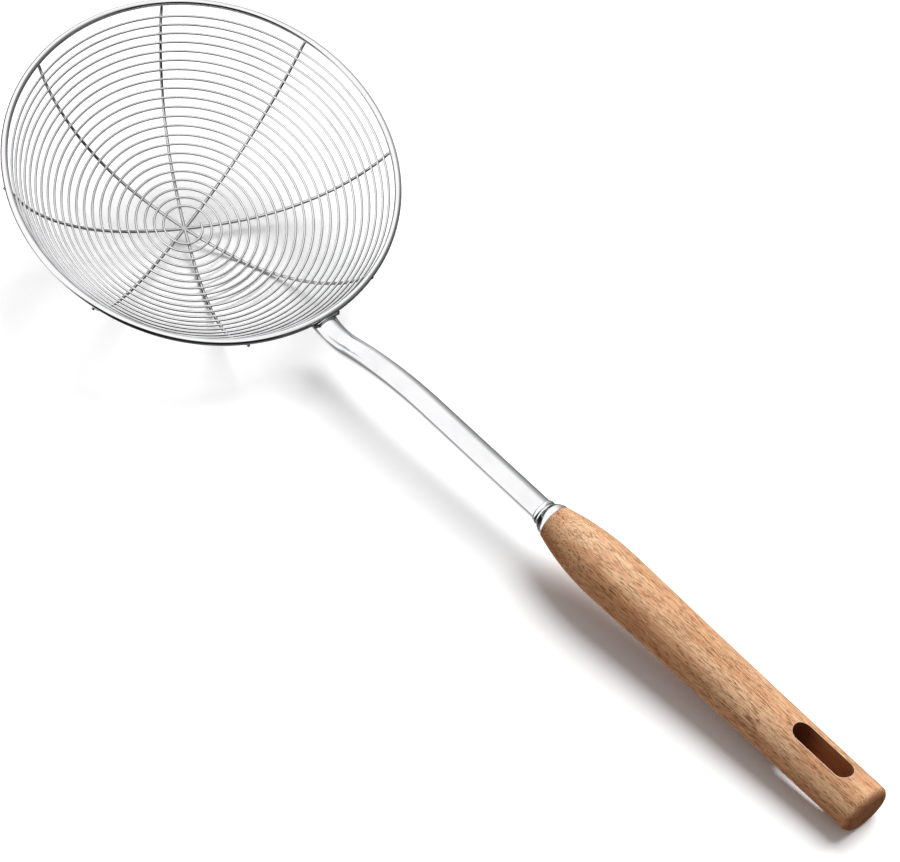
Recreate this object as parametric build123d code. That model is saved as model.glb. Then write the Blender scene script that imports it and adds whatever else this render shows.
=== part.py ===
from build123d import *
from math import atan2, ceil, cos, degrees, hypot, pi, radians, sin, tan
import os

# A spider skimmer: a wire basket on a bent steel tube with a wooden grip. All lengths are in millimetres.
# The basket is drawn with its rim level and centred on the origin, and the handle runs along +X.
# The finished tool is then tipped until it lies on its basket and on the lower edge of the grip's butt.

# Basket
rim_diameter = 160.0
rim_rod_diameter = 2.8
rib_wire_diameter = 1.3
spiral_wire_diameter = 1.0
rib_wire_count = 4
rib_turn_angle = -2.5
floor_radius = 130.0
floor_angle = 10.0
wall_angle = 65.0
rib_bend_radius = 4.0
rib_exit_angle = 25.0
rib_end_length = 0.2
spiral_start = 7.0
spiral_turns = 22.375
spiral_top_gap = 0.1
weld_gap = 0.03

# Handle tube
tube_diameter = 9.4
tube_wall = 0.9
tube_end_width = 11.3
tube_end_height = 7.8
tube_end_lap = 1.0
tube_end_wall = 1.6
tube_end_angle = -8.0
flare_length = 11.0
flare_steps = 4
neck_radius = 26.0
neck_angle = 33.0
bow_radius = 147.0
shaft_angle = 14.5
shaft_length = 67.9

# Welds between the tube's end and the rim
bead_diameter = 3.2
bead_drop = 2.3
bead_place_share = 0.42

# Collar, ferrule and tang
collar_length = 1.9
collar_height = 0.5
collar_gap = 0.6
ferrule_length = 4.6
ferrule_lip = 0.9
ferrule_wall = 0.7
ferrule_mouth_height = 0.5
flare_bulge_share = 0.64
nose_length = 1.4
seat_depth = 12.0
tang_diameter = 5.0
tang_length = 58.0
tang_head_length = 14.0
tang_point_length = 5.0
fit_clearance = 0.04
overrun = 1.0

# Wooden grip
grip_length = 159.3
grip_neck_diameter = 14.5
grip_width = 24.0
grip_height = 20.3
grip_turn_angle = 9.0
butt_width = 21.4
butt_height = 17.9
butt_round = 2.8
swell_length = 32.0
slot_length = 26.9
slot_width = 8.2
slot_butt_distance = 11.55
slot_lip_round = 0.4
butt_round_steps = 5
swell_power = 2.25
swell_steps = 5
taper_steps = 10

# Sizes that follow from those above
rim_rod_radius = rim_rod_diameter / 2
rim_radius = rim_diameter / 2 - rim_rod_radius
rib_radius = rib_wire_diameter / 2
spiral_radius = spiral_wire_diameter / 2
rib_spacing = 180.0 / rib_wire_count
first_rib_angle = rib_spacing / 2 + rib_turn_angle
rim_contact = rim_rod_radius + rib_radius + weld_gap
spiral_offset = rib_radius + spiral_radius + weld_gap
tube_radius = tube_diameter / 2
tube_bore_radius = tube_radius - tube_wall
tube_end_z = -(rim_rod_radius + weld_gap + tube_end_height / 2)
slot_centre = grip_length - slot_butt_distance - slot_length / 2


def heading(angle):
    """The unit step (r, z) along a line that climbs outward at this many degrees."""
    return cos(radians(angle)), sin(radians(angle))


def arc_step(radius, start_angle, end_angle):
    """The step (r, z) along an arc whose climb goes from one angle to the other, rising or easing off."""
    start_r, start_z = heading(start_angle)
    end_r, end_z = heading(end_angle)
    side = 1 if end_angle > start_angle else -1
    return side * radius * (end_z - start_z), side * radius * (start_r - end_r)


# Where a rib passes under the rim rod, and back along it to the top of the basket's wall
exit_r, exit_z = heading(rib_exit_angle)
touch_r = rim_radius + rim_contact * exit_z
touch_z = -rim_contact * exit_r
bend_r, bend_z = arc_step(rib_bend_radius, wall_angle, rib_exit_angle)
wall_top_r = touch_r - bend_r
wall_top_z = touch_z - bend_z

# The wall's radius carries it from the edge of the floor to that point
floor_edge_r, floor_rise = arc_step(floor_radius, 0, floor_angle)
wall_radius = (wall_top_r - floor_edge_r) / (sin(radians(wall_angle)) - sin(radians(floor_angle)))
wall_rise = arc_step(wall_radius, floor_angle, wall_angle)[1]
floor_z = wall_top_z - wall_rise - floor_rise
floor_run = floor_radius * radians(floor_angle)
wall_run = floor_run + wall_radius * radians(wall_angle - floor_angle)
spiral_pitch = (wall_run - spiral_top_gap - spiral_start) / spiral_turns


def basket_profile(run):
    """The rib centreline (r, z) and its climb in degrees, this far along it from the middle of the floor."""
    if run < floor_run:
        angle = degrees(run / floor_radius)
        r, z = arc_step(floor_radius, 0, angle)
        return r, floor_z + z, angle
    angle = floor_angle + degrees((run - floor_run) / wall_radius)
    r, z = arc_step(wall_radius, floor_angle, angle)
    return floor_edge_r + r, floor_z + floor_rise + z, angle


def on_arc(start, radius, start_angle, end_angle):
    """The middle and the end of an arc in the XZ plane that leaves start (x, z) at start_angle."""
    half = (start_angle + end_angle) / 2
    points = []
    for angle in (half, end_angle):
        step = arc_step(radius, start_angle, angle)
        points.append((start[0] + step[0], start[1] + step[1]))
    return points


def upright(point):
    """A point (x, z) of the XZ plane in space."""
    return Vector(point[0], 0, point[1])


def half_rib(side):
    """One side of a rib's centreline, from the edge of the floor to its free end, in the XZ plane."""
    floor_edge = (floor_edge_r, floor_z + floor_rise)
    wall = on_arc(floor_edge, wall_radius, floor_angle, wall_angle)
    bend = on_arc(wall[1], rib_bend_radius, wall_angle, rib_exit_angle)
    end = (bend[1][0] + rib_end_length * exit_r, bend[1][1] + rib_end_length * exit_z)
    points = [Vector(side * r, 0, z) for r, z in [floor_edge, *wall, *bend, end]]
    return [ThreePointArc(*points[0:3]), ThreePointArc(*points[2:5]), Line(*points[4:6])]


def rib_laps(level):
    """The blocks cut from rib number level, so that the ribs lie within one another where they cross."""
    reach = rib_radius / sin(radians(rib_spacing / 2)) + weld_gap
    leaf = rib_wire_diameter / rib_wire_count
    low = floor_z - rib_radius + level * leaf
    block = Box(2 * reach, 2 * rib_wire_diameter, rib_wire_diameter)
    blocks = []
    if level > 0:
        blocks.append(Pos(0, 0, low - rib_radius) * block)
    if level < rib_wire_count - 1:
        blocks.append(Pos(0, 0, low + leaf + rib_radius) * block)
    return blocks


def rib_wire(number):
    """One rib wire: bent to the basket, from rim to rim through the middle of the floor."""
    left = half_rib(-1)
    right = half_rib(1)
    path = Wire([*left, ThreePointArc(left[0] @ 0, Vector(0, 0, floor_z), right[0] @ 0), *right])
    section = Plane(path @ 0, z_dir=path % 0) * Circle(rib_radius)
    rod = sweep(section, path=path)
    for block in rib_laps(number):
        rod -= block
    return Rot(0, 0, first_rib_angle + number * rib_spacing) * rod


def spiral_place(turn):
    """The spiral's centre and direction after this many turns, clockwise from the second rib."""
    r, z, climb = basket_profile(spiral_start + spiral_pitch * turn)
    climb_r, climb_z = heading(climb)
    radius = r - spiral_offset * climb_z
    height = z + spiral_offset * climb_r
    angle = radians(first_rib_angle + rib_spacing) - 2 * pi * turn
    centre = Vector(radius * cos(angle), radius * sin(angle), height)
    bend_radius = wall_radius if climb > floor_angle else floor_radius
    growth = spiral_pitch * (1 - spiral_offset / bend_radius)
    outward = Vector(cos(angle), sin(angle), 0) * climb_r * growth
    around = Vector(sin(angle), -cos(angle), 0) * 2 * pi * radius
    direction = outward + around + Vector(0, 0, climb_z * growth)
    return centre, direction.normalized()


def tangent_arc(start, direction, end):
    """The arc from start, leaving along direction, that ends at end."""
    chord = end - start
    unit = chord.normalized()
    side = direction - unit * direction.dot(unit)
    half_angle = atan2(side.length, direction.dot(unit))
    middle = start + chord / 2 + side.normalized() * (chord.length / 2 * tan(half_angle / 2))
    return ThreePointArc(start, middle, end)


def biarc(start, start_direction, end, end_direction):
    """Two arcs that meet smoothly, from start to end with the direction given at each."""
    chord = end - start
    both = start_direction + end_direction
    a = 2 * (1 - start_direction.dot(end_direction))
    b = 2 * chord.dot(both)
    c = -chord.dot(chord)
    handle = (-b + (b * b - 4 * a * c) ** 0.5) / (2 * a)
    joint = (start + start_direction * handle + end - end_direction * handle) / 2
    joint_direction = (end - end_direction * handle - start - start_direction * handle).normalized()
    return [tangent_arc(start, start_direction, joint), tangent_arc(joint, joint_direction, end)]


def spiral_path():
    """The spiral's centreline: two arcs to each quarter turn, with a straight wire's width at both ends."""
    spans = ceil(spiral_turns * 4)
    places = [spiral_place(spiral_turns * span / spans) for span in range(spans + 1)]
    first, first_direction = places[0]
    last, last_direction = places[-1]
    edges = [Line(first - first_direction * spiral_wire_diameter, first)]
    for (start, start_direction), (end, end_direction) in zip(places, places[1:]):
        edges += biarc(start, start_direction, end, end_direction)
    edges.append(Line(last, last + last_direction * spiral_wire_diameter))
    return Wire(edges)


def spiral_least_gap():
    """The least gap between one turn of the spiral and the next, measured on points."""
    steps = 64
    gaps = []
    for step in range(ceil((spiral_turns - 1) * steps)):
        here = spiral_place(step / steps)[0]
        after = spiral_place(step / steps + 1)[0]
        gaps.append((after - here).length - spiral_wire_diameter)
    return min(gaps)


def spiral_wire():
    """The spiral of thin wire that lies in the basket on its ribs."""
    path = spiral_path()
    section = Plane(path @ 0, z_dir=path % 0) * Circle(spiral_radius)
    wire = sweep(section, path=path)
    length_volume = path.length * pi * spiral_radius**2
    print(f"spiral: least gap {spiral_least_gap():.3f} mm, volume {wire.volume:.2f} mm3")
    print(f"spiral: section times length {length_volume:.2f} mm3")
    return wire


def rim_ring():
    """The round rod bent to a ring."""
    return Torus(rim_radius, rim_rod_radius)


# The tube's centreline in the XZ plane
tube_start = (rim_radius - tube_end_lap, tube_end_z)
neck_end = on_arc(tube_start, neck_radius, tube_end_angle, neck_angle)[1]
bow_points = on_arc(neck_end, bow_radius, neck_angle, shaft_angle)
shaft_r, shaft_z = heading(shaft_angle)
grip_start = (bow_points[1][0] + shaft_length * shaft_r, bow_points[1][1] + shaft_length * shaft_z)
tube_end = (grip_start[0] + seat_depth * shaft_r, grip_start[1] + seat_depth * shaft_z)


def neck_place(run):
    """The tube's centre (x, z) and its climb in degrees, this far along the neck from its flattened end."""
    angle = tube_end_angle + degrees(run / neck_radius)
    step = arc_step(neck_radius, tube_end_angle, angle)
    return (tube_start[0] + step[0], tube_start[1] + step[1]), angle


def neck_section(run, inset):
    """The tube's section on the neck, from flattened to round, drawn this far inside its surface."""
    centre, angle = neck_place(run)
    share = (1 - run / flare_length) ** 2
    half_width = tube_radius + share * (tube_end_width / 2 - tube_radius) - inset
    half_height = tube_radius - share * (tube_radius - tube_end_height / 2) - inset
    along = heading(angle)
    return Plane(upright(centre), x_dir=(0, 1, 0), z_dir=upright(along)) * Ellipse(half_width, half_height)


def tube_core(front, inset):
    """The solid that fills the tube from this far behind its front end, this far inside its surface."""
    room = flare_length - front
    sections = [neck_section(front + room * step / flare_steps, inset) for step in range(flare_steps + 1)]
    flare_end, flare_angle = neck_place(flare_length)
    rest = on_arc(flare_end, neck_radius, flare_angle, neck_angle)
    path = Wire([
        ThreePointArc(upright(flare_end), upright(rest[0]), upright(neck_end)),
        ThreePointArc(upright(neck_end), upright(bow_points[0]), upright(bow_points[1])),
        Line(upright(bow_points[1]), upright(tube_end)),
    ])
    return loft(sections) + sweep(sections[-1], path=path)


def handle_tube():
    """The bent tube: a flattened closed end under the rim, a curved neck and a straight shaft."""
    return tube_core(0, 0) - tube_core(tube_end_wall, tube_wall)


def rim_weld(side):
    """The weld bead at one corner where the rim rod crosses the tube's flattened end."""
    bead_y = side * tube_end_width * bead_place_share
    bead = Pos(rim_radius + rim_rod_radius / 2, bead_y, -bead_drop) * Sphere(bead_diameter / 2)
    return bead - rim_ring() - tube_core(0, 0)


def along_grip(shape):
    """A shape drawn along +X from the grip's front end, moved to its place on the handle."""
    return Pos(grip_start[0], 0, grip_start[1]) * Rot(0, -shaft_angle, 0) * shape


def turned(points):
    """A solid turned about the X axis from its outline of (x, radius) corners."""
    return revolve(make_face(Polyline(*points, close=True)), axis=Axis.X)


def collar_ring():
    """The rounded ring on the tube in front of the ferrule."""
    inner = tube_radius + fit_clearance
    back = -ferrule_length - collar_gap
    front = back - collar_length
    top = ((front + back) / 2, inner + collar_height)
    outline = [Line((front, inner), (back, inner)), ThreePointArc((back, inner), top, (front, inner))]
    return along_grip(revolve(make_face(outline), axis=Axis.X))


def ferrule_cap():
    """The flared cap over the grip's front end, bored for the tube and for the wood's nose."""
    bore = tube_radius + fit_clearance
    mouth = bore + ferrule_mouth_height
    outer = grip_neck_diameter / 2
    inner = outer - ferrule_wall
    front = -ferrule_length
    shoulder = -nose_length - fit_clearance
    flare = ((front - ferrule_lip) / 2, mouth + (outer - mouth) * flare_bulge_share)
    outline = [
        Line((front, bore), (front, mouth)),
        ThreePointArc((front, mouth), flare, (-ferrule_lip, outer)),
        Polyline((-ferrule_lip, outer), (0, outer), (0, inner), (shoulder, inner), (shoulder, bore), (front, bore)),
    ]
    return along_grip(revolve(make_face(outline), axis=Axis.X))


def tang_outline(clearance):
    """The tang rod's outline beyond the tube's end, with this clearance around it."""
    rod = tang_diameter / 2 + clearance
    point_start = seat_depth + tang_length - tang_point_length
    return [(point_start, rod), (seat_depth + tang_length + clearance, 0)]


def grip_tang():
    """The turned tang: a head fixed in the tube's end and a pointed rod driven into the wood."""
    head = tube_bore_radius - fit_clearance
    start = seat_depth - tang_head_length
    head_outline = [(start, 0), (start, head), (seat_depth, head), (seat_depth, tang_diameter / 2)]
    return along_grip(turned(head_outline + tang_outline(0)))


def grip_section(place, share, start, end):
    """One section of the grip: its place, and its half sizes this share of the way from start to end."""
    half_width = start[0] + share * (end[0] - start[0])
    half_height = start[1] + share * (end[1] - start[1])
    return place, half_width / 2, half_height / 2


def grip_sections():
    """The grip's sections from its front to its butt: the place, half width and half height of each."""
    neck = (grip_neck_diameter, grip_neck_diameter)
    full = (grip_width, grip_height)
    butt = (butt_width, butt_height)
    taper_length = grip_length - butt_round - swell_length
    sections = []
    for step in range(swell_steps + 1):
        along = step / swell_steps
        share = 1 - (1 - along) ** swell_power
        sections.append(grip_section(along * swell_length, share, neck, full))
    for step in range(1, taper_steps + 1):
        along = step / taper_steps
        sections.append(grip_section(swell_length + along * taper_length, sin(along * pi / 2), full, butt))
    return sections


def butt_sections():
    """The sections of the quarter round that ends the grip."""
    sections = []
    for step in range(butt_round_steps + 1):
        along, drop = arc_step(butt_round, 0, 90 * step / butt_round_steps)
        place = grip_length - butt_round + along
        sections.append((place, butt_width / 2 - drop, butt_height / 2 - drop))
    return sections


def through_sections(sections):
    """A smooth solid through elliptical sections across the X axis."""
    faces = []
    for x, half_width, half_height in sections:
        plane = Plane((x, 0, 0), x_dir=(0, 1, 0), z_dir=(1, 0, 0))
        faces.append(plane * Ellipse(half_width, half_height))
    return loft(faces)


def on_slot_lip(edge):
    """Whether an edge of the grip runs round the mouth of the hanging slot."""
    box = edge.bounding_box()
    inside = abs(box.center().X - slot_centre) < slot_length / 2
    narrow = max(-box.min.Y, box.max.Y) < slot_width / 2 + fit_clearance
    level = box.size.Z < slot_width / 2
    return inside and narrow and level


def wood_grip():
    """The wooden grip with its nose, its seat for the tube, its tang bore and its hanging slot."""
    slot = extrude(SlotOverall(slot_length, slot_width), grip_height, both=True)
    body = through_sections(grip_sections()) + through_sections(butt_sections())
    body = body - Pos(slot_centre, 0, 0) * slot
    body = fillet([edge for edge in body.edges() if on_slot_lip(edge)], slot_lip_round)
    nose_radius = grip_neck_diameter / 2 - ferrule_wall - fit_clearance
    nose = turned([(-nose_length, 0), (-nose_length, nose_radius), (0, nose_radius), (0, 0)])
    seat_radius = tube_radius + fit_clearance
    seat_end = seat_depth + fit_clearance
    rod_radius = tang_diameter / 2 + fit_clearance
    front = -nose_length - overrun
    seat = [(front, 0), (front, seat_radius), (seat_end, seat_radius), (seat_end, rod_radius)]
    wood = body + nose - turned(seat + tang_outline(fit_clearance))
    return along_grip(Rot(-grip_turn_angle, 0, 0) * wood)


def rib_low_point(tilt):
    """The lowest height of the ribs when the handle's side of the basket is tipped down by this angle."""
    steps = 400
    tilt_r, tilt_z = heading(tilt)
    rib_angle = min(abs(first_rib_angle), abs(first_rib_angle - rib_spacing))
    lows = []
    for step in range(steps + 1):
        r, z, climb = basket_profile(wall_run * step / steps)
        lows.append(z * tilt_r - r * cos(radians(rib_angle)) * tilt_z)
    return min(lows) - rib_radius


def butt_low_point(tilt):
    """The height of the butt's rounded lower edge when the basket is tipped by this angle."""
    turn_side, turn_up = sin(radians(grip_turn_angle)), cos(radians(grip_turn_angle))
    along = grip_length - butt_round
    down = hypot(butt_height / 2 * turn_up, butt_width / 2 * turn_side) - butt_round
    x = grip_start[0] + along * shaft_r + down * shaft_z
    z = grip_start[1] + along * shaft_z - down * shaft_r
    tilt_r, tilt_z = heading(tilt)
    return z * tilt_r - x * tilt_z - butt_round


def resting_tilt():
    """The tip, in degrees, at which the ribs and the butt's lower edge stand on one level."""
    low = 0
    high = wall_angle
    for halving in range(40):
        middle = (low + high) / 2
        if butt_low_point(middle) > rib_low_point(middle):
            low = middle
        else:
            high = middle
    return low


def skimmer():
    """Every piece of the skimmer by name, lying at rest with the origin under its middle."""
    pieces = {"rim_ring": rim_ring(), "spiral_wire": spiral_wire()}
    for number in range(rib_wire_count):
        pieces[f"rib_wire_{number + 1}"] = rib_wire(number)
    pieces["shaft_tube"] = handle_tube()
    pieces["rim_weld_left"] = rim_weld(1)
    pieces["rim_weld_right"] = rim_weld(-1)
    pieces["collar_ring"] = collar_ring()
    pieces["ferrule_cap"] = ferrule_cap()
    pieces["grip_tang"] = grip_tang()
    pieces["wood_grip"] = wood_grip()
    tilt = resting_tilt()
    tipped = {name: Pos(0, 0, -rib_low_point(tilt)) * Rot(0, tilt, 0) * piece for name, piece in pieces.items()}
    middle = Compound(list(tipped.values())).bounding_box().center()
    print(f"tipped by {tilt:.3f} degrees, origin moved by {middle.X:.3f} mm")
    return {name: Pos(-middle.X, -middle.Y, 0) * piece for name, piece in tipped.items()}


os.makedirs("parts", exist_ok=True)
for name, piece in skimmer().items():
    export_step(piece, f"parts/{name}.step")
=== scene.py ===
"""A spider skimmer in its studio: polished wire basket, bent steel tube and beech grip.

The drawing's sizes are in millimetres. Placement puts it into the frame, which is in metres, as the finishes
and the studio are.
"""

import logging
import math
from dataclasses import dataclass, replace
from enum import Enum

import bpy
import numpy as np
from mathutils import Matrix, Vector


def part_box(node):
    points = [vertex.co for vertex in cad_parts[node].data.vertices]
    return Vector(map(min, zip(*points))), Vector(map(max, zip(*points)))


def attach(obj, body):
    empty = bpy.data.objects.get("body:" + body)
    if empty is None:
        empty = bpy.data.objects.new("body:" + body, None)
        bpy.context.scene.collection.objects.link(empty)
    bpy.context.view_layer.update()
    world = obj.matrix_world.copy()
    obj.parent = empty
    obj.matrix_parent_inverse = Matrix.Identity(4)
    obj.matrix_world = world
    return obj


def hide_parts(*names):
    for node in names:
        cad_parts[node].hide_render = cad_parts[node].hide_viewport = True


Array = np.ndarray
Material = bpy.types.Material
Object = bpy.types.Object
Socket = bpy.types.NodeSocket
Colour = tuple[float, float, float]
Triple = tuple[float, float, float]
Range = tuple[float, float]
LOG = logging.getLogger("skimmer")

BODY = "root"
MM = 0.001
IMAGE_WIDTH = 900
IMAGE_HEIGHT = 862
SHARP_ANGLE = math.radians(38.0)
QUARTER = math.pi / 2
END_STEPS = 4
POLE_GAP = 0.12
TINY = 1e-6
JOIN_DISTANCE = 1e-5
UP = np.array([0.0, 0.0, 1.0])


class Slot(Enum):
    """The record's material slots."""

    POLISHED = "polished_steel"
    WIRE = "steel_wire"
    WELD = "weld_metal"
    WOOD = "beech_wood"


# Shader maths


class Shade:
    """A shader value whose maths is written with Python's operators, each of which adds a Math node."""

    def __init__(self, tree: "Tree", socket: Socket) -> None:
        """Holds the tree and the output socket."""
        self.tree = tree
        self.socket = socket

    def math(self, operation: str, other: "Shade | float" = 0.0, swapped: bool = False) -> "Shade":
        """Adds a Math node.

        Args:
            operation: the node's operation.
            other: the other value, where the operation takes two.
            swapped: whether the other value comes first.

        Returns:
            The node's result.
        """
        values = {int(swapped): self, int(not swapped): other}
        return Shade(self.tree, self.tree.node("ShaderNodeMath", {"operation": operation}, values).outputs[0])

    def __add__(self, other: "Shade | float") -> "Shade":
        """This plus other."""
        return self.math("ADD", other)

    def __sub__(self, other: "Shade | float") -> "Shade":
        """This minus other."""
        return self.math("SUBTRACT", other)

    def __rsub__(self, other: float) -> "Shade":
        """Other minus this."""
        return self.math("SUBTRACT", other, swapped=True)

    def __mul__(self, other: "Shade | float") -> "Shade":
        """This times other."""
        return self.math("MULTIPLY", other)

    __radd__ = __add__
    __rmul__ = __mul__

    def step(self, low: float, high: float, start: float = 0.0, end: float = 1.0) -> "Shade":
        """Eases from start to end while this goes from low to high."""
        settings, inputs = {"interpolation_type": "SMOOTHSTEP"}, {0: self, 1: low, 2: high, 3: start, 4: end}
        return Shade(self.tree, self.tree.node("ShaderNodeMapRange", settings, inputs).outputs[0])


class Tree:
    """A node tree, filled by one method for every kind of node."""

    def __init__(self, owner: Material | bpy.types.World) -> None:
        """Empties the owner's node tree and holds it."""
        owner.use_nodes = True
        self.nodes = owner.node_tree.nodes
        self.links = owner.node_tree.links
        self.nodes.clear()

    def node(self, kind: str, settings: dict | None = None, inputs: dict | None = None) -> bpy.types.Node:
        """Adds a node.

        Args:
            kind: the node's type.
            settings: its properties, which are set first.
            inputs: values, sockets or Shades by the input's name or number.

        Returns:
            The node.
        """
        node = self.nodes.new(kind)
        for key, value in (settings or {}).items():
            setattr(node, key, value)
        for key, value in (inputs or {}).items():
            value = value.socket if isinstance(value, Shade) else value
            if isinstance(value, Socket):
                self.links.new(value, node.inputs[key])
            else:
                node.inputs[key].default_value = value
        return node

    def blend(self, share: Shade, low: Colour | Socket, high: Colour) -> Socket:
        """The colour that is low where share is 0 and high where it is 1.

        A Mix node has inputs and an output for each type of data. Those for colours are 6, 7 and 2.
        """
        low = (*low, 1.0) if isinstance(low, tuple) else low
        inputs = {0: share, 6: low, 7: (*high, 1.0)}
        return self.node("ShaderNodeMix", {"data_type": "RGBA"}, inputs).outputs[2]

    def bump(self, height: Shade, depth: float) -> Socket:
        """The normal of a surface raised by height, at most this deep."""
        inputs = {"Height": height, "Distance": depth, "Strength": 1.0}
        return self.node("ShaderNodeBump", None, inputs).outputs[0]


@dataclass(frozen=True)
class Noise:
    """A noise pattern.

    Attributes:
        grains: how many grains it has per metre along X, Y and Z.
        rise: the values over which its mask goes from 0 to 1.
        detail: how many finer layers it has.
    """

    grains: Triple
    rise: Range = (0.0, 1.0)
    detail: float = 2.0

    def over(self, tree: Tree, place: Socket) -> Shade:
        """The noise over these coordinates, from 0 to 1."""
        scaled = tree.node("ShaderNodeVectorMath", {"operation": "MULTIPLY"}, {0: place, 1: self.grains})
        inputs = {"Vector": scaled.outputs[0], "Scale": 1.0, "Detail": self.detail}
        return Shade(tree, tree.node("ShaderNodeTexNoise", None, inputs).outputs[0])

    def mask(self, tree: Tree, place: Socket) -> Shade:
        """The same, spread over its rise."""
        return self.over(tree, place).step(*self.rise)


# Finishes


@dataclass(frozen=True)
class Finish:
    """A material with one Principled shader, whose inputs each kind of finish works out."""

    name: str

    def inputs(self, tree: Tree) -> dict:
        """The shader's inputs, by their names."""
        raise NotImplementedError

    def material(self) -> Material:
        """Makes the material."""
        material = bpy.data.materials.new(self.name)
        tree = Tree(material)
        shader = tree.node("ShaderNodeBsdfPrincipled", None, self.inputs(tree))
        tree.node("ShaderNodeOutputMaterial", None, {"Surface": shader.outputs[0]})
        return material


@dataclass(frozen=True)
class PolishedSteel(Finish):
    """Bright stainless steel with faint polishing lines along the piece and a few soft smears.

    It lies on UV coordinates, u along the piece and v round it, and the smears on Object coordinates.
    """

    name: str = "polished_steel"
    colour: Colour = (0.86, 0.86, 0.87)
    dull_colour: Colour = (0.78, 0.78, 0.79)
    roughness: float = 0.05
    smear_roughness: float = 0.05
    line_roughness: float = 0.03
    line_depth: float = 0.000004
    lines: Noise = Noise((60.0, 90.0, 1.0), (0.4, 0.8), detail=3.0)
    line_share: float = 0.25
    smears: Noise = Noise((90.0, 90.0, 90.0), (0.45, 0.75))
    smear_share: float = 0.6

    def inputs(self, tree: Tree) -> dict:
        """The shader's inputs."""
        place = tree.node("ShaderNodeTexCoord").outputs
        lines, smears = self.lines.over(tree, place["UV"]), self.smears.mask(tree, place["Object"])
        dull = smears * self.smear_share + lines.step(*self.lines.rise) * self.line_share
        return {
            "Base Color": tree.blend(dull, self.colour, self.dull_colour),
            "Metallic": 1.0,
            "Roughness": self.roughness + smears * self.smear_roughness + lines * self.line_roughness,
            "Normal": tree.bump(lines, self.line_depth),
        }


@dataclass(frozen=True)
class PatchyMetal(Finish):
    """Metal with a fine relief under patches of another colour. Both lie on the coordinates that it names."""

    colour: Colour
    patch_colour: Colour
    roughness: float
    patch_roughness: float
    relief: Noise
    relief_depth: float
    patches: Noise
    metallic: float = 1.0
    coordinates: str = "UV"

    def inputs(self, tree: Tree) -> dict:
        """The shader's inputs."""
        place = tree.node("ShaderNodeTexCoord").outputs[self.coordinates]
        patches = self.patches.over(tree, place)
        return {
            "Base Color": tree.blend(patches.step(*self.patches.rise), self.colour, self.patch_colour),
            "Metallic": self.metallic,
            "Roughness": self.roughness + patches * self.patch_roughness,
            "Normal": tree.bump(self.relief.over(tree, place), self.relief_depth),
        }


# Bright drawn wire: drawing lines along it and duller patches, u along the wire and v round it
DRAWN_WIRE = PatchyMetal(
    "drawn_wire",
    colour=(0.83, 0.83, 0.84),
    patch_colour=(0.66, 0.66, 0.67),
    roughness=0.07,
    patch_roughness=0.05,
    relief=Noise((40.0, 24.0, 1.0), detail=3.0),
    relief_depth=0.000004,
    patches=Noise((70.0, 2.0, 1.0), (0.4, 0.75)),
)
# The same, greyer: painted shade, as the ribs lie under the spiral
SHADED_RIB_WIRE = replace(
    DRAWN_WIRE, name="rib_wire", colour=(0.7, 0.7, 0.71), patch_colour=(0.45, 0.45, 0.46), roughness=0.09
)
# Weld metal: ripples across the bead under a thin dark oxide that is rubbed bright in places
WELD_METAL = PatchyMetal(
    "weld_metal",
    colour=(0.3, 0.29, 0.28),
    patch_colour=(0.03, 0.028, 0.026),
    roughness=0.35,
    patch_roughness=0.3,
    relief=Noise((900.0, 2600.0, 900.0)),
    relief_depth=0.00008,
    patches=Noise((1500.0, 1500.0, 1500.0), (0.35, 0.6), detail=3.0),
    metallic=0.9,
    coordinates="Object",
)


@dataclass(frozen=True)
class Stain:
    """A colour laid over the wood, and how strongly."""

    colour: Colour
    share: float = 1.0


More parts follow.
